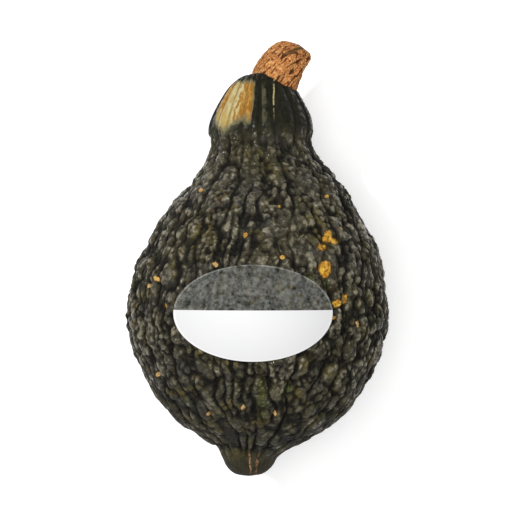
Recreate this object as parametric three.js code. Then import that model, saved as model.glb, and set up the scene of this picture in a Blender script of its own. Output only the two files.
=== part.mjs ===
// A warty winter squash lying on its side: a pear-shaped fruit with a ribbed crown and a small
// nipple, a corky stem and an oval paper sticker. Millimetres, +Z up, stem end towards +Y,
// origin on the ground under the middle of the bounding box.
import * as THREE from "three";

// Driving dimensions
const WIDEST_RADIUS = 90;
const FRUIT_FLATTENING = 0.965; // height over width of every ring
const GROUND_SPOT_DEPTH = 3.6; // how much the lowest side is flattened by lying on it
const AXIS_HEIGHT = WIDEST_RADIUS * FRUIT_FLATTENING - GROUND_SPOT_DEPTH;
const AXIS_SLOPE = 0.05; // the stem end hangs a little lower than the middle
const GROUND_SPOT_Y = -27; // under the centre of mass

// Rings of the fruit from the stem socket to the nipple:
// place along Y, radius, sideways offset of the centre, fall of the ring towards +X
const FRUIT_RINGS = [
  [117.0, 0.0, 11.0, 0.36],
  [117.0, 9.0, 11.0, 0.36],
  [117.2, 16.0, 11.0, 0.36],
  [121.0, 18.5, 10.0, 0.36],
  [115.5, 24.5, 6.0, 0.2],
  [106.5, 30.0, 4.0, 0.08],
  [97.0, 34.5, 2.8, 0.0],
  [88.0, 36.4, 2.2, 0.0],
  [79.5, 35.6, 2.6, 0.0],
  [70.5, 38.5, 3.6, 0.0],
  [60.5, 45.0, 4.6, 0.0],
  [49.0, 54.3, 4.8, 0.0],
  [36.0, 64.2, 3.2, 0.0],
  [21.5, 73.0, 2.8, 0.0],
  [5.0, 81.6, 2.4, 0.0],
  [-12.0, 87.2, 0.6, 0.0],
  [-28.0, 89.5, 0.0, 0.0],
  [-44.0, WIDEST_RADIUS, 0.0, 0.0],
  [-60.0, 87.0, 0.0, 0.0],
  [-76.0, 80.7, 0.4, 0.0],
  [-91.0, 72.6, 0.0, 0.0],
  [-104.0, 62.8, 0.0, 0.0],
  [-115.0, 51.0, -0.3, 0.0],
  [-123.5, 38.0, -0.8, 0.0],
  [-130.5, 26.0, -3.0, 0.0],
  [-136.5, 19.4, -5.0, 0.0],
  [-143.0, 15.6, -5.6, 0.0],
  [-148.0, 9.6, -6.0, 0.0],
  [-149.8, 0.0, -6.0, 0.0],
];
const STEPS_PER_RING = 2;
const FRUIT_SIDES = 64;

// Ribs that run down the crown and fade out at the neck
const RIB_COUNT = 16;
const RIB_DEPTH = 1.3;
const RIBS_FULL_ABOVE = 96;
const RIBS_END_AT = 66;
const SOCKET_RIM_RADIUS = 20; // the socket inside it has no ribs

// The stem stands in its socket, leans towards +X and turns a little as it rises
const STEM_GAP = 0.35;
const STEM_BASE_HEIGHT = axisHeight(117);
const STEM_CENTRE_LINE = new THREE.CatmullRomCurve3([
  new THREE.Vector3(11, 117 + STEM_GAP, STEM_BASE_HEIGHT),
  new THREE.Vector3(14.5, 126, STEM_BASE_HEIGHT + 1),
  new THREE.Vector3(19, 135, STEM_BASE_HEIGHT + 2),
  new THREE.Vector3(24.5, 141.5, STEM_BASE_HEIGHT + 3),
  new THREE.Vector3(27.5, 146.2, STEM_BASE_HEIGHT + 3.5),
]);
const STEM_RADII = [0, 13.4, 14.4, 15.0, 15.2, 15.0, 14.5, 13.7, 12.6, 10.4, 0];
const STEM_BASE_DIRECTION = new THREE.Vector3(0.34, 0.94, 0).normalize();
const STEM_TIP_DIRECTION = new THREE.Vector3(0.5, 0.86, 0.1).normalize();
const STEM_SIDES = 40;
const STEM_BASE_ROWS = 2; // rows that lie in the flat base
const STEM_RIDGES = 7;
const STEM_RIDGE_DEPTH = 0.05; // as a share of the radius
const STEM_TWIST = 0.9; // radians from base to tip

// Oval sticker on the upper side
const STICKER_HALF_WIDTH = 52.2;
const STICKER_HALF_LENGTH = 31.5;
const STICKER_CENTRE = new THREE.Vector2(-3, -36.2);
const STICKER_GAP = 0.4;
const STICKER_THICKNESS = 0.5;
const STICKER_SIDES = 48;
const STICKER_RINGS = 6;

// Uniform Catmull-Rom spline through rows of numbers, with t from 0 at the first row to 1 at the last
function splineRow(rows, t) {
  const place = t * (rows.length - 1);
  const start = Math.min(Math.floor(place), rows.length - 2);
  const s = place - start;
  const row = (k) => rows[THREE.MathUtils.clamp(k, 0, rows.length - 1)];
  return rows[0].map((_, column) => {
    const [a, b, c, d] = [-1, 0, 1, 2].map((step) => row(start + step)[column]);
    return b + 0.5 * s * (c - a + s * (2 * a - 5 * b + 4 * c - d + s * (3 * (b - c) + d - a)));
  });
}

// Height of the fruit's centre line above the ground
function axisHeight(y) {
  return AXIS_HEIGHT - AXIS_SLOPE * (y - GROUND_SPOT_Y);
}

// A closed body of rings between two poles; pointAt(row, angle) gives each point, and its first and
// last rows are the poles. The angle grows anticlockwise as seen from outside the first pole.
function ringedBody(rowCount, sides, pointAt) {
  const positions = [];
  positions.push(...pointAt(0, 0));
  for (let row = 1; row < rowCount - 1; row++) {
    for (let side = 0; side < sides; side++) {
      positions.push(...pointAt(row, (side / sides) * 2 * Math.PI));
    }
  }
  positions.push(...pointAt(rowCount - 1, 0));

  const lastPole = positions.length / 3 - 1;
  const at = (row, side) => 1 + (row - 1) * sides + (side % sides);
  const triangles = [];
  for (let side = 0; side < sides; side++) {
    triangles.push(0, at(1, side), at(1, side + 1));
    for (let row = 1; row < rowCount - 2; row++) {
      triangles.push(at(row, side), at(row + 1, side), at(row, side + 1));
      triangles.push(at(row, side + 1), at(row + 1, side), at(row + 1, side + 1));
    }
    triangles.push(at(rowCount - 2, side), lastPole, at(rowCount - 2, side + 1));
  }
  const geometry = new THREE.BufferGeometry();
  geometry.setAttribute("position", new THREE.Float32BufferAttribute(positions, 3));
  geometry.setIndex(triangles);
  geometry.computeVertexNormals();
  return geometry;
}

// Depth of the crown's ribs at a place along Y and an angle round the fruit
function ribRelief(y, angle) {
  const strength = THREE.MathUtils.smoothstep(y, RIBS_END_AT, RIBS_FULL_ABOVE);
  return -RIB_DEPTH * strength * (1 - Math.abs(Math.sin((angle * RIB_COUNT) / 2)));
}

// A point of the fruit's skin; angle 0 looks along +X and grows towards +Z
function fruitPoint(t, angle) {
  const [y, radius, centreX, fall] = splineRow(FRUIT_RINGS, t);
  const relief = radius > SOCKET_RIM_RADIUS ? ribRelief(y, angle) : 0;
  const across = (radius + relief) * Math.cos(angle);
  const up = (radius + relief) * FRUIT_FLATTENING * Math.sin(angle);
  return [centreX + across, y - fall * across, Math.max(axisHeight(y) + up, 0)];
}

// The fruit's rows run from the nipple to the socket
function fruitGeometry() {
  const rowCount = (FRUIT_RINGS.length - 1) * STEPS_PER_RING + 1;
  return ringedBody(rowCount, FRUIT_SIDES, (row, angle) => fruitPoint(1 - row / (rowCount - 1), angle));
}

// Corky stem: a stubby fluted cone whose cross-sections turn from the socket's tilt to the tip's
function stemGeometry() {
  const radii = STEM_RADII.map((radius) => [radius]);
  const rowCount = STEM_RADII.length * 2 - 1;
  const side = new THREE.Vector3(0, 0, 1);
  return ringedBody(rowCount, STEM_SIDES, (row, angle) => {
    const t = row / (rowCount - 1);
    const radius = splineRow(radii, t)[0];
    const height = row <= STEM_BASE_ROWS ? 0 : t;
    const centre = STEM_CENTRE_LINE.getPoint(height);
    const direction = STEM_BASE_DIRECTION.clone().lerp(STEM_TIP_DIRECTION, height).normalize();
    const across = new THREE.Vector3().crossVectors(direction, side).normalize();
    const up = new THREE.Vector3().crossVectors(across, direction);
    const ridge = Math.cos(STEM_RIDGES * (angle + STEM_TWIST * t));
    const reach = radius * (1 + STEM_RIDGE_DEPTH * ridge);
    centre.addScaledVector(across, reach * Math.cos(angle));
    centre.addScaledVector(up, reach * Math.sin(angle));
    return centre.toArray();
  });
}

// Height of the fruit's upper side above the ground at a place seen from above
function fruitTop(x, y) {
  let low = 0;
  let high = 1;
  while (high - low > 1e-6) {
    const middle = (low + high) / 2;
    if (splineRow(FRUIT_RINGS, middle)[0] > y) low = middle;
    else high = middle;
  }
  const [, radius, centreX] = splineRow(FRUIT_RINGS, low);
  const share = (x - centreX) / radius;
  return axisHeight(y) + radius * FRUIT_FLATTENING * Math.sqrt(1 - share * share);
}

// Oval sticker that follows the skin: its underside runs out from the middle and its top runs back
function stickerGeometry() {
  const rowCount = 2 * STICKER_RINGS + 2;
  return ringedBody(rowCount, STICKER_SIDES, (row, angle) => {
    const isUnderside = row <= STICKER_RINGS;
    const share = (isUnderside ? row : rowCount - 1 - row) / STICKER_RINGS;
    const x = STICKER_CENTRE.x + STICKER_HALF_WIDTH * share * Math.cos(angle);
    const y = STICKER_CENTRE.y - STICKER_HALF_LENGTH * share * Math.sin(angle);
    const lift = isUnderside ? STICKER_GAP : STICKER_GAP + STICKER_THICKNESS;
    return [x, y, fruitTop(x, y) + lift];
  });
}

const rind = new THREE.MeshStandardMaterial({ color: 0x3a382c, roughness: 0.5, metalness: 0 });
const cork = new THREE.MeshStandardMaterial({ color: 0xb98252, roughness: 0.9, metalness: 0 });
const paper = new THREE.MeshStandardMaterial({ color: 0xf2f2f2, roughness: 0.4, metalness: 0 });

const squash = new THREE.Group();
for (const [name, geometry, material] of [
  ["fruit", fruitGeometry(), rind],
  ["stem", stemGeometry(), cork],
  ["sticker", stickerGeometry(), paper],
]) {
  const mesh = new THREE.Mesh(geometry, material);
  mesh.name = name;
  squash.add(mesh);
}

export default squash;
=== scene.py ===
"""The looks of a warty hubbard squash with a corky stem and an oval sticker, lying on its side.

Lengths are in millimetres until a mesh is made; the frame is in metres, +Z up, stem end towards +Y.
"""

import math

import bpy
import numpy as np
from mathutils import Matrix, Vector, kdtree, noise


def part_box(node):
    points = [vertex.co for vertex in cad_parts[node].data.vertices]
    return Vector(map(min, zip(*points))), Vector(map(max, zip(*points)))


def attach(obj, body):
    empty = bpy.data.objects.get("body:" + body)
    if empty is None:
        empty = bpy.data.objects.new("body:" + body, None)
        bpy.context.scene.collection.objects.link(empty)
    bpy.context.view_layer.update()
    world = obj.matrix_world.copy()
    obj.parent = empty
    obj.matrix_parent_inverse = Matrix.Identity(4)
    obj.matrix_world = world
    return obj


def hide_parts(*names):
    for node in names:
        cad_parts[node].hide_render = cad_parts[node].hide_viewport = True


MM = 0.001
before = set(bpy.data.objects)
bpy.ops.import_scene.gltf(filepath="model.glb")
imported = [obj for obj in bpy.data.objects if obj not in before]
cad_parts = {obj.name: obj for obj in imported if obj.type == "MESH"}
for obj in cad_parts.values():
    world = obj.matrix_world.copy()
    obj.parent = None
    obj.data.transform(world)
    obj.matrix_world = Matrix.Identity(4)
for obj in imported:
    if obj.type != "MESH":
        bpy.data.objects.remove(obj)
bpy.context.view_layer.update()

# The fruit's smooth shape, as in the CAD model
WIDEST_RADIUS = 90.0
FRUIT_FLATTENING = 0.965
GROUND_SPOT_DEPTH = 3.6
AXIS_HEIGHT = WIDEST_RADIUS * FRUIT_FLATTENING - GROUND_SPOT_DEPTH
AXIS_SLOPE = 0.05
GROUND_SPOT_Y = -27.0
LOW_SIDE_FALL = 0.72  # share of a ring's fall on its -X side

# Rings from the stem socket to the nipple:
# place along Y, radius, sideways offset of the centre, fall of the ring towards +X
FRUIT_RINGS = np.array([
    (117.0, 0.0, 11.0, 0.36),
    (117.0, 9.0, 11.0, 0.36),
    (117.2, 16.0, 11.0, 0.36),
    (121.0, 18.5, 10.0, 0.36),
    (115.5, 24.5, 6.0, 0.2),
    (106.5, 30.0, 4.0, 0.08),
    (97.0, 34.5, 2.8, 0.0),
    (88.0, 36.4, 2.2, 0.0),
    (79.5, 35.6, 2.6, 0.0),
    (70.5, 38.5, 3.6, 0.0),
    (60.5, 45.0, 4.6, 0.0),
    (49.0, 54.3, 4.8, 0.0),
    (36.0, 64.2, 3.2, 0.0),
    (21.5, 73.0, 2.8, 0.0),
    (5.0, 81.6, 2.4, 0.0),
    (-12.0, 87.2, 0.6, 0.0),
    (-28.0, 89.5, 0.0, 0.0),
    (-44.0, WIDEST_RADIUS, 0.0, 0.0),
    (-60.0, 87.0, 0.0, 0.0),
    (-76.0, 80.7, 0.4, 0.0),
    (-91.0, 72.6, 0.0, 0.0),
    (-104.0, 62.8, 0.0, 0.0),
    (-115.0, 51.0, -0.3, 0.0),
    (-123.5, 38.0, -0.8, 0.0),
    (-130.5, 26.0, -3.0, 0.0),
    (-136.5, 19.4, -5.0, 0.0),
    (-143.0, 15.6, -5.6, 0.0),
    (-148.0, 9.6, -6.0, 0.0),
    (-149.8, 0.0, -6.0, 0.0),
])

SKIN_STEP = 1.28  # edge length of the skin's triangles
UPPER_DENSITY = 0.2  # how much closer together they are round the upper side
SEED = 7

# Stretches along Y, each from where it starts to where it is full
WARTS_FROM_CROWN = (93, 72)
WARTS_FROM_NIPPLE = (-141, -128)
BLOSSOM_END = (-50, -115)
NECK = (40, 75)
RIBBED_CROWN = (60, 92)

# Crown: angles of the valleys between ribs, in degrees round the fruit, 90 looking straight up
RIB_VALLEYS = (3, 25, 47, 74, 92, 102, 112, 131, 147, 164, 184, 206, 229, 252, 274, 296, 318, 341)
RIB_DEPTH = 1.7
CROWN_STARTS = 80.0
CROWN_CENTRE_X = 2.4  # its ribs and marks run round this line, so they climb straight to the rim
SOCKET_RIM_RADIUS = 20.0
RIM_BULGE = 3.4  # the rim swells over the stem's foot
RIM_BULGE_ANGLE = 112.0
RIM_BULGE_SPREAD = 30.0

# Warts: large lumps and the nubs that cover them, and their radii as shares of their spacing
LUMP_SPACING = 10.5
LUMP_HEIGHT = 3.0
LUMP_RADII = (0.55, 0.88)
NUB_SPACING = 3.7
NUB_HEIGHT = 2.0
NUB_RADII = (0.5, 0.85)
NUB_ROUGHNESS = (0.35, 1.1)  # how tall the nubs on one lump are, against the next
WART_STRETCH = 1.15  # how much longer than wide they are, along Y
GROOVE_WIDTH = 1.8  # half width of the grooves that run from the stem to the blossom end
GROOVE_DEPTH = 2.1
LOBE_WIDTH = 5.5  # half width of the rounded lobes' shoulders beside the grooves
LOBE_DEPTH = 2.6
WART_RISE = 1.6  # how far the highest warts stand out of the smooth shape

# Golden patch and pale line on the crown, and cork cracks on the nipple
GOLDEN_PATCH_MIDDLE_Y = 97.0
NIPPLE_CRACKS = ((-6.2, -0.12), (1.6, 0.2))  # place along X and slant
NIPPLE_CRACKS_END = -131.0
PALE_LINE_X = 11.3

# Stem, as in the CAD model but finer
STEM_BASE_Y = 117.0
STEM_BASE_SHARE = 0.1  # share of the rows that lie in the flat base
STEM_CENTRES = np.array([
    (10.0, 117.0, 0.0),
    (13.5, 126.0, 1.0),
    (19.0, 135.5, 2.0),
    (25.0, 142.8, 3.0),
    (28.8, 147.0, 3.5),
])
STEM_RADII = np.array([0, 14.4, 16.0, 16.2, 15.8, 15.2, 14.6, 13.6, 12.0, 8.8, 0])[:, None]
STEM_DIRECTIONS = np.array([(0.34, 0.94, 0.0), (0.46, 0.88, 0.1)])
STEM_ROWS = 150
STEM_SIDES = 210
STEM_RIDGES = 7
STEM_RIDGE_DEPTH = 0.05  # as a share of the radius
STEM_TWIST = 0.9
STEM_LENGTH = 36.0
STEM_FIBRE_STRETCH = 4.2  # how much longer than wide the fibres are
STEM_FISSURE_DEPTH = 1.2
STEM_FURROW = ((18.0, 138.5), (33.0, 145.5))  # x and y of its ends
STEM_FURROW_DEPTH = 1.3

# Sticker
STICKER_LIFT = 1.2
STICKER_CLEARANCE = 0.35  # the warts under it are pressed down to here
STICKER_THICKNESS = 0.15
STICKER_SIDES = 160
STICKER_RINGS = 40
STICKER_SPLIT = 0.06  # where the white half begins, as a share of half its length

# Coloured warts on the upper side: x, y, width, length, and -1 for green, 0 for amber to 1 for cream
COLOURED_WARTS = (
    (46.9, 14.5, 7.0, 7.6, 0.0),
    (51.9, 11.4, 6.6, 5.6, 0.0),
    (43.3, 7.8, 7.4, 6.6, 0.0),
    (44.9, -7.4, 8.4, 12.4, 0.0),
    (58.3, -26.9, 4.2, 7.6, 0.2),
    (53.2, -30.0, 5.4, 5.8, 0.1),
    (51.0, -39.3, 3.2, 3.2, 0.3),
    (66.9, -44.1, 3.0, 4.8, 0.8),
    (16.5, 0.5, 4.2, 3.6, 0.3),
    (14.5, 35.0, 3.2, 3.2, 0.3),
    (-39.0, 46.0, 4.4, 3.8, 0.5),
    (-8.2, 15.6, 3.2, 4.2, 0.3),
    (47.5, 42.0, 3.0, 2.6, 0.3),
    (56.5, 20.0, 3.2, 2.8, 0.8),
    (-68.0, -13.8, 4.4, 3.6, 0.5),
    (-74.0, -18.5, 3.6, 3.4, 0.7),
    (-61.5, -31.5, 3.6, 3.4, 0.4),
    (-28.0, -4.0, 3.8, 3.2, 0.8),
    (-67.0, -78.5, 3.6, 3.2, 0.7),
    (-9.5, -99.0, 3.4, 3.8, 1.0),
    (11.5, -104.0, 3.2, 3.0, 0.7),
    (-33.0, -104.5, 3.0, 2.8, 0.8),
    (80.0, -103.0, 3.4, 3.4, 0.5),
    (2.8, -94.0, 5.6, 34.0, -1.0),
    (20.0, -86.0, 5.0, 11.0, -1.0),
    (34.5, -12.5, 6.0, 5.0, -1.0),
    (44.5, -17.5, 6.5, 7.0, -1.0),
)


# ---------------------------------------------------------------- geometry helpers

def spline_rows(rows, t):
    """Uniform Catmull-Rom spline through rows of numbers, at every t from 0 to 1."""
    place = np.clip(t, 0, 1) * (len(rows) - 1)
    start = np.minimum(place.astype(int), len(rows) - 2)
    s = (place - start)[:, None]
    a, b, c, d = (rows[np.clip(start + step, 0, len(rows) - 1)] for step in (-1, 0, 1, 2))
    return b + 0.5 * s * (c - a + s * (2 * a - 5 * b + 4 * c - d + s * (3 * (b - c) + d - a)))


def smoothstep(low, high, value):
    """0 below low, 1 above high, smooth between; low may be the larger."""
    share = np.clip((value - low) / (high - low), 0, 1)
    return share * share * (3 - 2 * share)


def kd_tree(points):
    tree = kdtree.KDTree(len(points))
    for index, point in enumerate(points):
        tree.insert(point, index)
    tree.balance()
    return tree


def scatter(points, spacing, rng):
    """Indices of points picked in random order, each at least its own spacing from the earlier ones."""
    tree = kd_tree(points)
    free = np.ones(len(points), bool)
    chosen = []
    for index in rng.permutation(len(points)):
        if free[index]:
            chosen.append(index)
            for _, near, _ in tree.find_range(points[index], spacing[index]):
                free[near] = False
    return np.array(chosen)


def noise_field(points, scale, offset=0.0):
    """Smooth noise from about -1 to 1 at every point; scale is the size of its features."""
    shifted = points / scale + offset
    return np.array([noise.noise(point) for point in shifted.tolist()])


def noise_vectors(points, scale, offset=0.0):
    """Three unrelated noises at every point; noise.noise_vector would differ from run to run."""
    return np.stack([noise_field(points, scale, offset + apart) for apart in (0.0, 31.7, 67.3)], axis=1)


def new_mesh_object(name, points_mm, faces, material, attributes):
    mesh = bpy.data.meshes.new(name)
    mesh.from_pydata((points_mm * MM).tolist(), [], faces)
    mesh.validate()
    mesh.shade_smooth()
    for attribute, values in attributes.items():
        layer = mesh.attributes.new(attribute, "FLOAT", "POINT")
        layer.data.foreach_set("value", np.ascontiguousarray(values, np.float32))
    mesh.materials.append(material)
    piece = bpy.data.objects.new(name, mesh)
    bpy.context.scene.collection.objects.link(piece)
    return piece


def stitched_rows(counts, offsets):
    """Triangles between rings of different numbers of points; the first and last rings are poles.

    They face outwards where the angle grows anticlockwise as seen from outside the first pole.
    """
    starts = np.concatenate(([0], np.cumsum(counts)))
    faces = []
    for row in range(len(counts) - 1):
        n, m = int(counts[row]), int(counts[row + 1])
        here, there = int(starts[row]), int(starts[row + 1])
        i = j = 0
        while (n > 1 and i < n) or (m > 1 and j < m):
            next_here = (i + 1 + offsets[row]) / n if n > 1 and i < n else math.inf
            next_there = (j + 1 + offsets[row + 1]) / m if m > 1 and j < m else math.inf
            if next_here <= next_there:
                faces.append((here + i % n, there + j % m, here + (i + 1) % n))
                i += 1
            else:
                faces.append((here + i % n, there + j % m, there + (j + 1) % m))
                j += 1
    return faces


# ---------------------------------------------------------------- the fruit

def axis_height(y):
    return AXIS_HEIGHT - AXIS_SLOPE * (y - GROUND_SPOT_Y)


def fruit_points(t, angle):
    """Points of the smooth skin; angle 0 looks along +X and grows towards +Z."""
    y, radius, centre_x, fall = spline_rows(FRUIT_RINGS, t).T
    across = radius * np.cos(angle)
    up = radius * FRUIT_FLATTENING * np.sin(angle)
    fallen = fall * np.where(across < 0, LOW_SIDE_FALL, 1.0) * across
    from_bulge = (np.degrees(angle) % 360 - RIM_BULGE_ANGLE) / RIM_BULGE_SPREAD
    rim = smoothstep(14, 18, radius) * smoothstep(32, 22, radius) * smoothstep(60, 100, y)
    bulge = RIM_BULGE * rim * np.exp(-from_bulge ** 2)
    return np.stack([centre_x + across, y - fallen + bulge, axis_height(y) + up], axis=1)


def fruit_grid():
    """Triangles over the whole skin, from the nipple: t and angle of every vertex, and the faces."""
    fine_t = np.linspace(0, 1, 4000)
    y, radius = spline_rows(FRUIT_RINGS, fine_t)[:, :2].T
    travelled = np.concatenate(([0], np.cumsum(np.hypot(np.diff(y), np.diff(radius)))))
    row_step = SKIN_STEP * math.sqrt(3) / 2
    row_count = int(travelled[-1] / row_step) + 1
    row_t = np.interp(np.linspace(travelled[-1], 0, row_count), travelled, fine_t)
    row_radius = spline_rows(FRUIT_RINGS, row_t)[:, 1]
    counts = np.maximum(6, np.round(2 * np.pi * np.abs(row_radius) / SKIN_STEP)).astype(int)
    counts[0] = counts[-1] = 1
    offsets = np.arange(row_count) % 2 * 0.5
    even = np.concatenate([(np.arange(n) + o) / n for n, o in zip(counts, offsets)]) * 2 * np.pi
    angle = even + UPPER_DENSITY * np.cos(even)
    return np.repeat(row_t, counts), angle, stitched_rows(counts, offsets)


def skin_normals(t, angle):
    """Outward directions of the smooth skin, which point along Y at its two poles."""
    step_t, step_angle = 1e-4, 1e-3
    along = fruit_points(t + step_t, angle) - fruit_points(t - step_t, angle)
    around = fruit_points(t, angle + step_angle) - fruit_points(t, angle - step_angle)
    normal = np.cross(around, along)
    length = np.linalg.norm(normal, axis=1)
    poles = length < 1e-9
    normal[poles] = (0, 1, 0)
    normal[poles & (t > 0.5)] = (0, -1, 0)
    length[poles] = 1
    return normal / length[:, None]


def knobs(points, spacing, smallest, largest, rng):
    """Round knobs scattered over the skin, each a part of a ball: height from 0 to 1, and its number.

    The smallest and largest are the balls' radii as shares of the spacing.
    """
    sites = scatter(points, spacing, rng)
    share = rng.uniform(smallest, largest, len(sites))
    radius = share * spacing[sites]
    tree = kd_tree(points[sites])
    found = [tree.find_n(point, 5) for point in points]
    index = np.array([[near[1] for near in five] for five in found])
    distance = np.array([[near[2] for near in five] for five in found])
    cap = np.sqrt(np.clip(1 - (distance / radius[index]) ** 2, 0, 1))
    height = cap * share[index] / largest
    highest = np.argmax(height, axis=1)
    every = np.arange(len(points))
    return height[every, highest], index[every, highest]


def pillow(share):
    """Round shoulder that rises from 0 at a groove to 1 beside it."""
    share = np.clip(share, 0, 1)
    return np.sqrt(1 - (1 - share) ** 2)


def marking_angle(points, t):
    """Angle round the fruit for ribs and marks, from -pi to pi."""
    ring_y, _, centre_x, _ = spline_rows(FRUIT_RINGS, t).T
    centre_x = np.where(ring_y > CROWN_STARTS, np.minimum(centre_x, CROWN_CENTRE_X), centre_x)
    up = (points[:, 2] - axis_height(ring_y)) / FRUIT_FLATTENING
    return np.arctan2(up, points[:, 0] - centre_x)


def rib_place(angle):
    """Share of the way from the nearest valley to the middle of its rib, half the rib's width in
    radians, and the rib's number."""
    degrees = np.degrees(angle) % 360
    valleys = np.array(RIB_VALLEYS, float)
    closed = np.concatenate((valleys, [valleys[0] + 360]))
    degrees = np.where(degrees < valleys[0], degrees + 360, degrees)
    rib = np.clip(np.searchsorted(closed, degrees, side="right") - 1, 0, len(valleys) - 1)
    width = closed[rib + 1] - closed[rib]
    inside = (degrees - closed[rib]) / width
    return 1 - np.abs(2 * inside - 1), np.radians(width / 2), rib


def under_sticker(points):
    """True where a point of the upper side lies below the sticker or just beside it."""
    low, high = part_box("sticker")
    centre = (low + high) / 2 / MM
    half = (high - low) / 2 / MM
    reach = np.hypot((points[:, 0] - centre.x) / half.x, (points[:, 1] - centre.y) / half.y)
    return (reach < 1.04) & (points[:, 2] > AXIS_HEIGHT)


def scattered_warts(points, blossom, neck, rng):
    """Heights of the lumps and nubs from 0 to 1, each lump's roughness, and tones for both."""
    wobble = 2.6 * noise_vectors(points, 15.0, 3.1) + 0.9 * noise_vectors(points, 5.0, 9.7)
    squeezed = points + wobble
    squeezed[:, 1] /= WART_STRETCH
    lump_spacing = LUMP_SPACING * (1 + 0.5 * noise_field(points, 28.0, 5.5) + 0.25 * blossom - 0.2 * neck)
    lumps, lump = knobs(squeezed, lump_spacing, *LUMP_RADII, rng)
    nub_spacing = NUB_SPACING * (1 + 0.5 * noise_field(points, 13.0, 1.5) + 0.4 * blossom)
    nubs, nub = knobs(squeezed, nub_spacing, *NUB_RADII, rng)
    lump_count, nub_count = lump.max() + 1, nub.max() + 1
    roughness = rng.uniform(*NUB_ROUGHNESS, lump_count)[lump]
    lump_tone = rng.uniform(0, 1, lump_count)[lump]
    nub_tone = rng.uniform(0, 1, nub_count)[nub]
    return lumps, nubs, roughness, lump_tone, nub_tone


def groove_distance(points, angle, ring_radius):
    """Distance to the nearest wavering groove, and the place on its rib.

    A groove runs along every rib valley, and one along the middle of every rib over the widest part.
    """
    y = points[:, 1]
    sway = 6 * noise_field(points, 24.0, 12.0) + 2 * noise_field(points, 9.0, 2.0)
    sway *= smoothstep(80, 50, y)
    rib, half_width, rib_number = rib_place(angle + np.radians(sway))
    from_valley = rib * half_width * ring_radius
    from_middle = (1 - rib) * half_width * ring_radius
    from_middle += 6 * (1 - smoothstep(50, 25, y) * smoothstep(-125, -105, y))
    return np.minimum(from_valley, from_middle), rib, rib_number


def wart_relief(points, t, rng):
    """Depth of the skin below the smooth shape, and what the material needs to know about it."""
    y = points[:, 1]
    angle = marking_angle(points, t)
    ring_radius = spline_rows(FRUIT_RINGS, t)[:, 1]
    body = smoothstep(*WARTS_FROM_CROWN, y) * smoothstep(*WARTS_FROM_NIPPLE, y)
    blossom = smoothstep(*BLOSSOM_END, y)
    neck = smoothstep(*NECK, y)
    lumps, nubs, roughness, lump_tone, nub_tone = scattered_warts(points, blossom, neck, rng)

    from_groove, rib, rib_number = groove_distance(points, angle, ring_radius)
    groove = pillow(from_groove / GROOVE_WIDTH)
    fading = np.clip(0.95 + 0.9 * noise_field(points, 20.0, 31.0), 0, 1.1) * (1 - 0.6 * neck)
    lobe_cut = (1 - pillow(from_groove / LOBE_WIDTH)) * LOBE_DEPTH * (0.35 + 0.65 * blossom)
    groove_cut = ((1 - groove) * GROOVE_DEPTH + lobe_cut) * body * fading

    crown = smoothstep(*RIBBED_CROWN, y)
    socket = smoothstep(SOCKET_RIM_RADIUS - 4, SOCKET_RIM_RADIUS, ring_radius)
    rib_cut = (0.7 * smoothstep(0.6, 0, rib) + 0.3 * smoothstep(0.12, 0, rib)) * RIB_DEPTH * crown * socket

    calm = 1 - 0.35 * blossom
    warts = LUMP_HEIGHT * lumps + NUB_HEIGHT * nubs * roughness * (0.7 + 0.3 * lumps)
    wart_cut = (LUMP_HEIGHT + NUB_HEIGHT - warts) * calm - WART_RISE
    drop = wart_cut * body + groove_cut + rib_cut
    pressed = under_sticker(points)
    drop[pressed] = np.maximum(drop[pressed], STICKER_CLEARANCE - STICKER_LIFT)

    # Painted shade: relief is low between nubs and lumps and in the grooves and rib valleys, and the
    # material darkens the warty skin's colour there
    nub_shade = 1 - np.clip(roughness, 0, 1) * (1 - np.clip(1.15 * nubs, 0, 1))
    hollow = (0.3 + 0.7 * smoothstep(0.05, 0.5, lumps)) * nub_shade * body + (1 - body)
    groove_shade = smoothstep(1.7, 0.5, from_groove) * body * fading
    grooves = np.clip(groove_shade + 0.6 * rib_cut / RIB_DEPTH, 0, 1)
    crossing = np.where(rib_number % 2 == 0, 1.0, -1.0)
    return drop, {
        "relief": hollow * (1 - 0.95 * grooves),
        "lump_tone": lump_tone,
        "nub_tone": nub_tone,
        "warty": body,
        "blossom": blossom,
        "valley": rib * crossing,
        "degrees": np.degrees(angle) % 360,
        "along": y,
        "pale_line": points[:, 0] - PALE_LINE_X + 0.5 * noise_field(points, 6.0, 3.0),
    }


def coloured_warts(points):
    """How far inside the nearest coloured wart, 1 at its middle and 0 at its edge, and its paleness."""
    inside = np.full(len(points), -1.0)
    paleness = np.zeros(len(points))
    upper = points[:, 2] > AXIS_HEIGHT
    for x, y, width, length, pale in COLOURED_WARTS:
        reach = np.hypot((points[:, 0] - x) * 2 / width, (points[:, 1] - y) * 2 / length)
        share = np.where(upper, 1 - reach, -1)
        nearer = share > inside
        inside[nearer] = share[nearer]
        paleness[nearer] = pale
    return inside, paleness


def golden_patch(points, degrees):
    """The golden-cream side of the crown, which fades out raggedly at the neck, higher on the right."""
    ragged = 6.0 * noise_field(points * (1.0, 0.25, 1.0), 3.5, 4.4)
    ragged += 4.0 * noise_field(points, 1.8, 9.1)
    left_edge = 0.6 * (points[:, 1] - GOLDEN_PATCH_MIDDLE_Y)
    sides = smoothstep(98, 103, degrees + 0.3 * ragged) * smoothstep(160, 148, degrees - left_edge)
    right = smoothstep(128, 118, degrees)
    lower = smoothstep(81, 97, points[:, 1] + 0.6 * ragged - 4 * right)
    upper = smoothstep(125, 116, points[:, 1] + 0.4 * ragged)
    return sides * lower * upper


def nipple_crack(points):
    """Signed distance across X to the nearer of the two wavering cracks on the nipple."""
    waver = 1.3 * noise_field(points, 7.0, 7.7) + 0.5 * noise_field(points, 2.2, 1.1)
    below = points[:, 1] - NIPPLE_CRACKS_END
    first, second = (points[:, 0] - x - slant * below + waver for x, slant in NIPPLE_CRACKS)
    return np.where(np.abs(first) < np.abs(second), first, -second)


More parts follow.
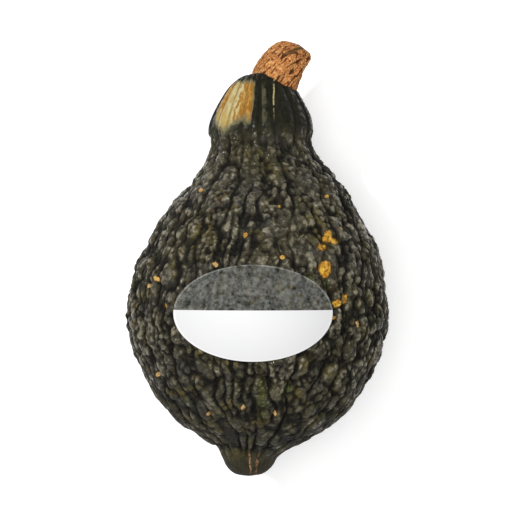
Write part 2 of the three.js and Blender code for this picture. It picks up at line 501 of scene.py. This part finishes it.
def make_fruit(material):
    rng = np.random.default_rng(SEED)
    t, angle, faces = fruit_grid()
    smooth = fruit_points(t, angle)
    drop, attributes = wart_relief(smooth, t, rng)
    points = smooth - skin_normals(t, angle) * drop[:, None]
    points[:, 2] = np.maximum(points[:, 2], 0)
    attributes["amber"], attributes["cream"] = coloured_warts(smooth)
    attributes["gold"] = golden_patch(smooth, attributes["degrees"])
    attributes["crack"] = nipple_crack(smooth)
    on_nipple = smoothstep(NIPPLE_CRACKS_END, NIPPLE_CRACKS_END - 4, smooth[:, 1])
    attributes["nipple"] = on_nipple * smoothstep(AXIS_HEIGHT + 4, AXIS_HEIGHT + 9, smooth[:, 2])
    return new_mesh_object("squash_skin", points, faces, material, attributes)


# ---------------------------------------------------------------- the stem

def stem_furrow(points):
    """1 in the middle of the furrow that runs across the top of the stem to its tip, 0 beside it."""
    start, end = np.array(STEM_FURROW)
    run = end - start
    from_start = points[:, :2] - start
    share = np.clip(from_start @ run / (run @ run), 0, 1)
    waver = 0.8 * noise_field(points, 4.0, 2.2)
    distance = np.linalg.norm(from_start - share[:, None] * run, axis=1) + waver
    return smoothstep(2.2, 0.4, distance)


def make_stem(material):
    """Stubby fluted cone of cork, split by fissures that run along it and turn with it."""
    counts = np.full(STEM_ROWS, STEM_SIDES)
    counts[0] = counts[-1] = 1
    offsets = np.zeros(STEM_ROWS)
    row = np.repeat(np.arange(STEM_ROWS), counts)
    t = row / (STEM_ROWS - 1)
    angle = -np.concatenate([np.arange(n) / n for n in counts]) * 2 * np.pi  # so the faces look out

    height = np.where(t < STEM_BASE_SHARE, 0, (t - STEM_BASE_SHARE) / (1 - STEM_BASE_SHARE))
    centre = spline_rows(STEM_CENTRES, height)
    centre[:, 2] += axis_height(STEM_BASE_Y)
    radius = np.maximum(spline_rows(STEM_RADII, t)[:, 0], 0)
    direction = STEM_DIRECTIONS[0] + (STEM_DIRECTIONS[1] - STEM_DIRECTIONS[0]) * height[:, None]
    direction /= np.linalg.norm(direction, axis=1)[:, None]
    across = np.cross(direction, (0, 0, 1))
    across /= np.linalg.norm(across, axis=1)[:, None]
    up = np.cross(across, direction)

    turned = angle + STEM_TWIST * t
    flute = STEM_RIDGE_DEPTH * np.cos(STEM_RIDGES * turned)
    along = t * STEM_LENGTH / STEM_FIBRE_STRETCH
    straight = np.stack([radius * np.cos(turned), radius * np.sin(turned), along], axis=1)
    straight[:, :2] += 0.8 * noise_vectors(straight, 4.0, 6.0)[:, :2]
    wide = np.abs(noise_field(straight, 1.9, 3.3))
    narrow = np.abs(noise_field(straight, 0.95, 8.8))
    pits = smoothstep(0.22, 0.42, noise_field(straight, 1.5, 15.0))
    fibre = np.clip(2.2 * np.minimum(wide * 2.2, 0.14 + narrow), 0, 1) * (1 - pits)
    lumpiness = 0.6 * noise_field(straight, 6.0, 20.0)
    fissures = STEM_FISSURE_DEPTH * (1 - fibre) * np.minimum(radius / 6, 1)
    reach = radius * (1 + flute) + lumpiness - fissures
    reach = np.maximum(reach, 0) * (radius > 0)
    points = centre + across * (reach * np.cos(angle))[:, None] + up * (reach * np.sin(angle))[:, None]
    furrow = stem_furrow(points) * (points[:, 2] > centre[:, 2])
    points[:, 2] -= STEM_FURROW_DEPTH * furrow
    attributes = {"fibre": fibre, "furrow": furrow}
    return new_mesh_object("corky_stem", points, stitched_rows(counts, offsets), material, attributes)


# ---------------------------------------------------------------- the sticker

def fruit_top(x, y):
    """Height of the smooth skin's upper side at places seen from above."""
    below_crown = spline_rows(FRUIT_RINGS, np.linspace(0.3, 1, 2000))
    along = -below_crown[:, 0]
    radius = np.interp(-y, along, below_crown[:, 1])
    centre_x = np.interp(-y, along, below_crown[:, 2])
    share = (x - centre_x) / radius
    return axis_height(y) + radius * FRUIT_FLATTENING * np.sqrt(1 - share ** 2)


def make_sticker(material):
    """Thin oval sheet that bridges the warts: its underside runs outwards and its top runs back."""
    low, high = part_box("sticker")
    centre = (low + high) / 2 / MM
    half = (high - low) / 2 / MM
    row_count = 2 * STICKER_RINGS + 2
    counts = np.full(row_count, STICKER_SIDES)
    counts[0] = counts[-1] = 1
    row = np.repeat(np.arange(row_count), counts)
    angle = np.concatenate([np.arange(n) / n for n in counts]) * 2 * np.pi
    underside = row <= STICKER_RINGS
    share = np.where(underside, row, row_count - 1 - row) / STICKER_RINGS
    x = centre.x + half.x * share * np.cos(angle)
    y = centre.y - half.y * share * np.sin(angle)
    z = fruit_top(x, y) + STICKER_LIFT + np.where(underside, 0, STICKER_THICKNESS)
    points = np.stack([x, y, z], axis=1)
    faces = stitched_rows(counts, np.zeros(row_count))
    attributes = {"rim": share, "film": (y - centre.y) / half.y - STICKER_SPLIT}
    return new_mesh_object("oval_sticker", points, faces, material, attributes)


# ---------------------------------------------------------------- materials

class Nodes:
    """Short calls that add nodes to a material and link them."""

    def __init__(self, name):
        self.material = bpy.data.materials.new(name)
        self.material.use_nodes = True
        self.tree = self.material.node_tree
        self.shader = self.tree.nodes["Principled BSDF"]

    def add(self, kind, inputs=None, **settings):
        node = self.tree.nodes.new(kind)
        for setting, value in settings.items():
            setattr(node, setting, value)
        for socket, value in (inputs or {}).items():
            self.put(node.inputs[socket], value)
        return node

    def put(self, socket, value):
        if isinstance(value, bpy.types.NodeSocket):
            self.tree.links.new(value, socket)
        else:
            socket.default_value = value

    def attribute(self, name):
        return self.add("ShaderNodeAttribute", attribute_name=name).outputs["Fac"]

    def math(self, operation, a, b=0.0):
        return self.add("ShaderNodeMath", {0: a, 1: b}, operation=operation).outputs[0]

    def mix(self, share, a, b, blend="MIX"):
        node = self.add("ShaderNodeMix", data_type="RGBA", blend_type=blend)
        self.put(node.inputs[0], share)
        self.put(node.inputs[6], a)
        self.put(node.inputs[7], b)
        return node.outputs[2]

    def ramp(self, value, low, high, out_low=0.0, out_high=1.0):
        inputs = {"Value": value, "From Min": low, "From Max": high, "To Min": out_low, "To Max": out_high}
        return self.add("ShaderNodeMapRange", inputs, interpolation_type="SMOOTHSTEP").outputs[0]

    def place(self, scale=(1, 1, 1)):
        coordinates = self.add("ShaderNodeTexCoord").outputs["Object"]
        return self.add("ShaderNodeMapping", {"Vector": coordinates, "Scale": scale}).outputs[0]

    def noise(self, vector, scale, detail=3.0, roughness=0.55):
        inputs = {"Vector": vector, "Scale": scale, "Detail": detail, "Roughness": roughness}
        return self.add("ShaderNodeTexNoise", inputs).outputs["Fac"]

    def voronoi(self, vector, scale, feature="F1"):
        inputs = {"Vector": vector, "Scale": scale}
        return self.add("ShaderNodeTexVoronoi", inputs, feature=feature).outputs["Distance"]

    def bump(self, height, distance, strength=1.0, normal=None):
        inputs = {"Height": height, "Distance": distance, "Strength": strength}
        if normal is not None:
            inputs["Normal"] = normal
        return self.add("ShaderNodeBump", inputs).outputs[0]


def warty_colour(n, place, grain, depth):
    """Near-black painted shade in the crevices, dark olive skin with brown and yellowed places, and a pale
    painted highlight on the nub tops.
    """
    tone = n.math("MULTIPLY", n.attribute("nub_tone"), 0.5)
    tone = n.math("ADD", tone, n.math("MULTIPLY", n.attribute("lump_tone"), 0.14))
    tone = n.math("ADD", tone, n.math("MULTIPLY", grain, 0.36))
    patches = n.ramp(n.noise(place, 38.0), 0.35, 0.65)
    skin = n.mix(patches, (0.032, 0.0275, 0.012, 1), (0.030, 0.027, 0.0195, 1))
    brown = n.ramp(n.noise(place, 90.0, 2.0), 0.6, 0.75, 0.0, 0.6)
    skin = n.mix(brown, skin, (0.046, 0.026, 0.007, 1))
    yellowed = n.ramp(n.noise(n.place((1.1, 0.8, 1)), 60.0, 3.0), 0.55, 0.7, 0.0, 0.6)
    skin = n.mix(yellowed, skin, (0.078, 0.060, 0.009, 1))
    # Painted highlight: pale grey on the nub tops, set by each nub's and lump's tone, weaker towards the
    # blossom end and the neck
    painted_top_highlight = n.math("MULTIPLY", n.ramp(depth, 0.5, 0.95), n.ramp(tone, 0.3, 0.7, 0.1, 1.0))
    painted_top_highlight = n.math("MULTIPLY", painted_top_highlight, n.ramp(n.attribute("blossom"), 0.0, 1.0, 1.0, 0.45))
    painted_top_highlight = n.math("MULTIPLY", painted_top_highlight, n.ramp(n.attribute("along"), 15.0, 60.0, 1.0, 0.8))
    skin = n.mix(painted_top_highlight, skin, (0.158, 0.141, 0.093, 1))
    # Painted shade: near black in the crevices, where depth is low
    return n.mix(n.ramp(depth, 0.06, 0.55), (0.0028, 0.0021, 0.0006, 1), skin)


def smooth_colour(n, streaks):
    """Nearly black crown and dark olive nipple, both finely streaked along."""
    crown = n.mix(n.ramp(streaks, 0.4, 0.75), (0.0045, 0.0045, 0.0012, 1), (0.0125, 0.0115, 0.004, 1))
    nipple = n.mix(n.ramp(streaks, 0.35, 0.65), (0.015, 0.0135, 0.006, 1), (0.030, 0.026, 0.014, 1))
    return n.mix(n.ramp(n.attribute("along"), -118.0, -132.0), crown, nipple)


def add_crown_lines(n, place, streaks, colour):
    """A greyed streak along one rib of the crown and a broken pale line in a valley."""
    along = n.attribute("along")
    greyed = n.math("ABSOLUTE", n.math("SUBTRACT", n.attribute("degrees"), 86.0))
    greyed = n.math("MULTIPLY", n.ramp(greyed, 4.0, 1.5), n.ramp(streaks, 0.35, 0.6))
    length = n.math("MULTIPLY", n.ramp(along, 88.0, 96.0), n.ramp(along, 120.0, 114.0))
    colour = n.mix(n.math("MULTIPLY", greyed, length), colour, (0.060, 0.056, 0.028, 1))
    pale = n.math("ABSOLUTE", n.attribute("pale_line"))
    pale = n.math("MULTIPLY", n.ramp(pale, 0.65, 0.2), n.ramp(n.noise(place, 300.0), 0.4, 0.55))
    pale = n.math("MULTIPLY", pale, n.ramp(along, 90.0, 106.0, 0.0, 1.0))
    return n.mix(pale, colour, (0.30, 0.25, 0.12, 1))


def add_golden_patch(n, streaks, colour):
    """Cream in the middle of the patch, orange beside it, brown in its valleys, grey-green round it."""
    degrees = n.math("ADD", n.attribute("degrees"), n.ramp(streaks, 0.2, 0.8, -7.0, 7.0))
    cream = n.mix(n.ramp(streaks, 0.42, 0.6), (0.33, 0.23, 0.072, 1), (0.39, 0.34, 0.175, 1))
    orange = n.mix(n.ramp(streaks, 0.42, 0.6), (0.225, 0.10, 0.010, 1), (0.32, 0.18, 0.04, 1))
    gold = n.mix(n.ramp(degrees, 117.0, 125.0), orange, cream)
    outer = n.math("MULTIPLY", n.ramp(degrees, 138.0, 148.0), n.ramp(n.attribute("along"), 94.0, 106.0))
    gold = n.mix(outer, gold, orange)
    valley = n.ramp(n.math("ABSOLUTE", n.attribute("valley")), 0.0, 0.35)
    gold = n.mix(n.ramp(valley, 0.0, 0.8, 0.5, 0.0), gold, (0.12, 0.07, 0.015, 1))
    inside = n.attribute("gold")
    colour = n.mix(n.ramp(inside, 0.08, 0.5), colour, (0.12, 0.108, 0.055, 1))
    return n.mix(n.ramp(inside, 0.35, 0.95), colour, gold)


def add_coloured_warts(n, place, depth, colour):
    """Amber, cream and green warts with brown edges, the amber ones pitted."""
    edge = n.math("ADD", n.attribute("amber"), n.math("MULTIPLY", n.noise(place, 450.0, 2.0), 0.8))
    colour = n.mix(n.ramp(edge, 0.0, 0.45, 0.0, 0.75), colour, (0.030, 0.022, 0.005, 1))
    pits = n.ramp(n.noise(place, 520.0, 1.0), 0.3, 0.44)
    amber = n.mix(n.ramp(n.noise(place, 300.0), 0.35, 0.65), (0.33, 0.15, 0.012, 1), (0.50, 0.30, 0.035, 1))
    amber = n.mix(pits, (0.09, 0.04, 0.006, 1), amber)
    paleness = n.attribute("cream")
    spots = n.mix(n.ramp(paleness, 0.0, 1.0), amber, (0.42, 0.28, 0.12, 1))
    spots = n.mix(n.ramp(edge, 0.45, 0.75), (0.15, 0.065, 0.010, 1), spots)
    # Painted shade: the green warts go near black where depth is low, in their crevices
    green = n.mix(n.ramp(depth, 0.2, 0.9), (0.006, 0.007, 0.001, 1), (0.050, 0.054, 0.015, 1))
    spots = n.mix(n.ramp(paleness, -0.2, -0.8), spots, green)
    return n.mix(n.ramp(edge, 0.42, 0.55), colour, spots)


def add_nipple_cracks(n, place, grain, colour):
    crack = n.ramp(n.math("ABSOLUTE", n.attribute("crack")), 0.95, 0.3)
    broken = n.math("MULTIPLY", n.attribute("nipple"), n.ramp(n.noise(place, 260.0), 0.34, 0.48))
    cork = n.mix(n.ramp(grain, 0.4, 0.6), (0.07, 0.03, 0.010, 1), (0.28, 0.155, 0.075, 1))
    return n.mix(n.math("MULTIPLY", crack, broken), colour, cork)


def rind_material():
    n = Nodes("rind")
    warty = n.attribute("warty")
    place = n.place()
    streaks = n.noise(n.place((1, 0.2, 1)), 420.0)
    grain = n.noise(place, 900.0, 4.0)
    # The small nubs lower depth between them; depth paints shade into the colour and also sets the
    # roughness
    small_nubs = n.ramp(n.voronoi(place, 420.0, "SMOOTH_F1"), 0.1, 0.75, 1.0, 0.0)
    depth = n.math("MULTIPLY", n.attribute("relief"), n.ramp(small_nubs, 0.0, 0.6, 0.6, 1.0))

    colour = n.mix(warty, smooth_colour(n, streaks), warty_colour(n, place, grain, depth))
    colour = add_crown_lines(n, place, streaks, colour)
    colour = add_golden_patch(n, streaks, colour)
    colour = add_coloured_warts(n, place, depth, colour)
    colour = add_nipple_cracks(n, place, grain, colour)
    n.put(n.shader.inputs["Base Color"], colour)

    gloss = n.math("ADD", depth, n.ramp(n.noise(place, 300.0), 0.3, 0.7, -0.1, 0.1))
    gloss = n.math("SUBTRACT", gloss, n.math("MULTIPLY", n.math("SUBTRACT", 1.0, warty), 0.3))
    gloss = n.math("SUBTRACT", gloss, n.math("MULTIPLY", n.attribute("blossom"), 0.25))
    n.put(n.shader.inputs["Roughness"], n.ramp(gloss, 0.45, 0.9, 0.85, 0.15))
    n.shader.inputs["Specular IOR Level"].default_value = 0.2
    coarse = n.bump(n.math("MULTIPLY", small_nubs, warty), 0.0012)
    n.put(n.shader.inputs["Normal"], n.bump(grain, 0.0002, 0.6, coarse))
    return n.material


def cork_material():
    """Tan cork with pale grain on the ridges, painted shade in its fissures and pits, and one olive-brown
    furrow.
    """
    n = Nodes("cork")
    fibre = n.attribute("fibre")
    place = n.place()
    grain = n.noise(place, 700.0, 4.0)
    pale = n.mix(n.ramp(n.noise(place, 160.0), 0.4, 0.62), (0.31, 0.10, 0.022, 1), (0.40, 0.165, 0.042, 1))
    ridges = n.mix(n.ramp(grain, 0.45, 0.7), pale, (0.60, 0.34, 0.13, 1))
    ridges = n.mix(n.ramp(n.attribute("furrow"), 0.1, 0.9), ridges, (0.105, 0.058, 0.014, 1))
    # Painted shade: dark brown in the fissures and pits, where fibre is low
    colour = n.mix(n.ramp(fibre, 0.0, 0.6), (0.060, 0.016, 0.003, 1), ridges)
    n.put(n.shader.inputs["Base Color"], colour)
    n.put(n.shader.inputs["Roughness"], n.ramp(grain, 0.3, 0.7, 0.7, 0.9))
    n.shader.inputs["Specular IOR Level"].default_value = 0.25
    n.put(n.shader.inputs["Normal"], n.bump(grain, 0.0005, 0.8))
    return n.material


def sticker_material():
    """White paper below the split, and above it a milky film that is clearer where nubs touch it."""
    n = Nodes("sticker_paper")
    place = n.place()
    is_film = n.ramp(n.attribute("film"), -0.002, 0.002)
    is_rim = n.ramp(n.attribute("rim"), 0.972, 0.982)
    speckle = n.ramp(n.noise(place, 330.0, 4.0, 0.7), 0.4, 0.62)
    film = n.mix(speckle, (0.115, 0.122, 0.108, 1), (0.21, 0.217, 0.20, 1))
    film = n.mix(is_rim, film, (0.42, 0.43, 0.40, 1))
    white = n.mix(is_rim, (0.545, 0.545, 0.55, 1), (0.70, 0.70, 0.70, 1))
    n.put(n.shader.inputs["Base Color"], n.mix(is_film, white, film))
    touching = n.ramp(n.voronoi(place, 260.0, "SMOOTH_F1"), 0.1, 0.55, 0.06, 0.22)
    milky = n.math("ADD", touching, n.ramp(speckle, 0.0, 1.0, -0.05, 0.07))
    n.put(n.shader.inputs["Alpha"], n.math("MAXIMUM", milky, n.math("SUBTRACT", 1.0, is_film)))
    n.shader.inputs["Roughness"].default_value = 0.6
    n.shader.inputs["Specular IOR Level"].default_value = 0.2
    return n.material


# ---------------------------------------------------------------- the scene

# Camera, straight above: the picture is VIEW_WIDTH wide at the height of the object's outline
SILHOUETTE_HEIGHT = 86.0
VIEW_WIDTH = 353.8
LENS = 150.0
SENSOR = 36.0
FLOOR_HALF_WIDTH = 6.0  # metres


def make_camera():
    camera = bpy.data.cameras.new("camera")
    camera.lens = LENS
    camera.sensor_width = SENSOR
    camera.clip_end = 10
    piece = bpy.data.objects.new("camera", camera)
    distance = VIEW_WIDTH * LENS / SENSOR
    piece.location = Vector((0, 0, SILHOUETTE_HEIGHT + distance)) * MM
    bpy.context.scene.collection.objects.link(piece)
    bpy.context.scene.camera = piece


def area_light(name, place, size, watts, target=(0, 0, 0.08)):
    light = bpy.data.lights.new(name, "AREA")
    light.shape = "DISK"
    light.size = size
    light.energy = watts
    piece = bpy.data.objects.new(name, light)
    piece.location = place
    piece.rotation_euler = (Vector(target) - Vector(place)).to_track_quat("-Z", "Y").to_euler()
    bpy.context.scene.collection.objects.link(piece)


def make_lights():
    area_light("key", (-0.62, 0.38, 1.4), 0.12, 17.5)
    area_light("fill", (0.5, 0.0, 1.45), 0.14, 5)
    area_light("top", (0.0, 0.0, 1.9), 0.9, 15.5)
    world = bpy.data.worlds.new("world")
    world.use_nodes = True
    background = world.node_tree.nodes["Background"]
    background.inputs["Color"].default_value = (1, 1, 1, 1)
    background.inputs["Strength"].default_value = 0.25
    bpy.context.scene.world = world
    bpy.context.scene.view_settings.view_transform = "Standard"


def make_floor():
    """Pale floor that glows a little, which fills in most of the object's shadow."""
    mesh = bpy.data.meshes.new("floor")
    half = FLOOR_HALF_WIDTH
    corners = [(-half, -half, 0), (half, -half, 0), (half, half, 0), (-half, half, 0)]
    mesh.from_pydata(corners, [], [(0, 1, 2, 3)])
    n = Nodes("floor")
    n.shader.inputs["Base Color"].default_value = (0.93, 0.93, 0.93, 1)
    n.shader.inputs["Roughness"].default_value = 0.9
    n.shader.inputs["Emission Color"].default_value = (1, 1, 1, 1)
    n.shader.inputs["Emission Strength"].default_value = 0.25
    mesh.materials.append(n.material)
    floor = bpy.data.objects.new("floor", mesh)
    bpy.context.scene.collection.objects.link(floor)


make_camera()
make_lights()
make_floor()

for piece, node, slot in (
    (make_fruit(rind_material()), "fruit", "rind"),
    (make_stem(cork_material()), "stem", "cork"),
    (make_sticker(sticker_material()), "sticker", "sticker_paper"),
):
    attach(piece, "root")
    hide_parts(node)
